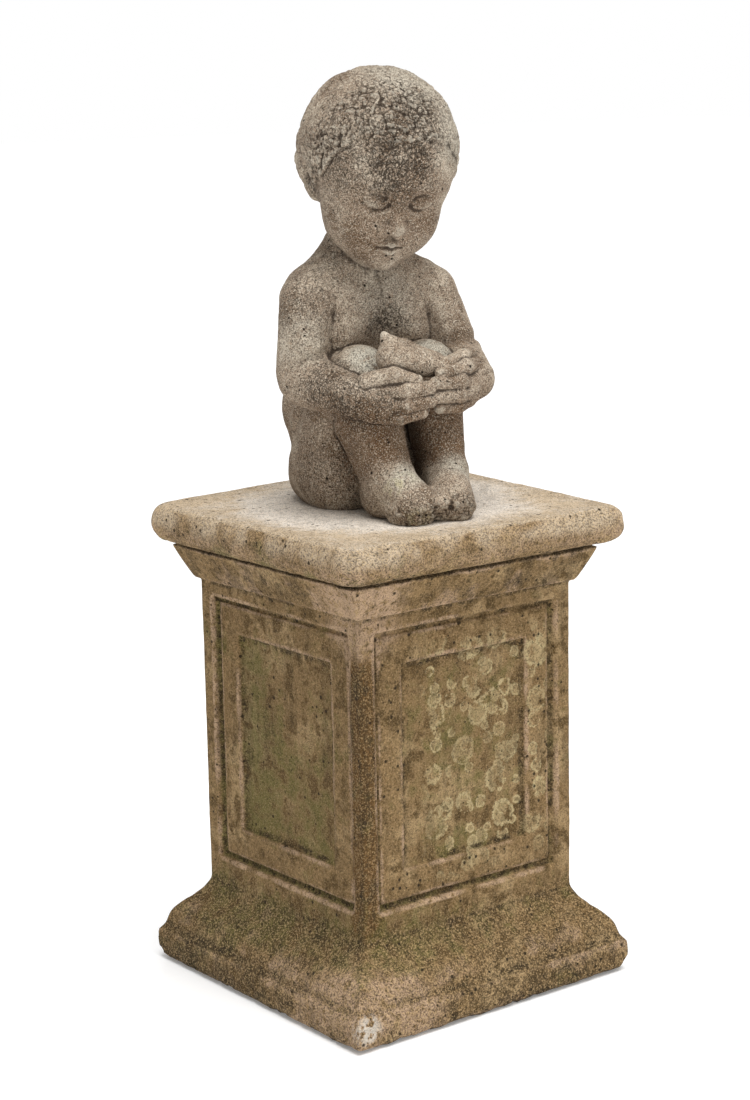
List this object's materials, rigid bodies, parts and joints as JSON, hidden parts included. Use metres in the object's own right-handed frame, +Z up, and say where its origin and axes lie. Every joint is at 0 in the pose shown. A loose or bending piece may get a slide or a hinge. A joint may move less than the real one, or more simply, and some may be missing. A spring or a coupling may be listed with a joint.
{
  "type": "stone cherub statue",
  "caption": "Seated stone child holding a small bird, standing loose on a square panelled stone pedestal.",
  "frame": {"origin": "on the ground, under the middle of the square base", "axes": "+Z up; the child's chest and feet face -Y, turned 9 degrees towards -X; +X is to the child's left"},
  "size_m": [0.4, 0.4, 1.0476],
  "materials": {
    "grey_cast_stone": "worn cast stone, dry and matt, with dark lichen specks on the hair, chest and forearm and paler knees and feet",
    "weathered_cast_stone": "rough cast stone, ochre and tan with green algae, dark dirt in the mouldings, lichen rings and air holes"
  },
  "bodies": {
    "root": {"figure": "grey_cast_stone", "pedestal": "weathered_cast_stone"}
  },
  "joints": []
}
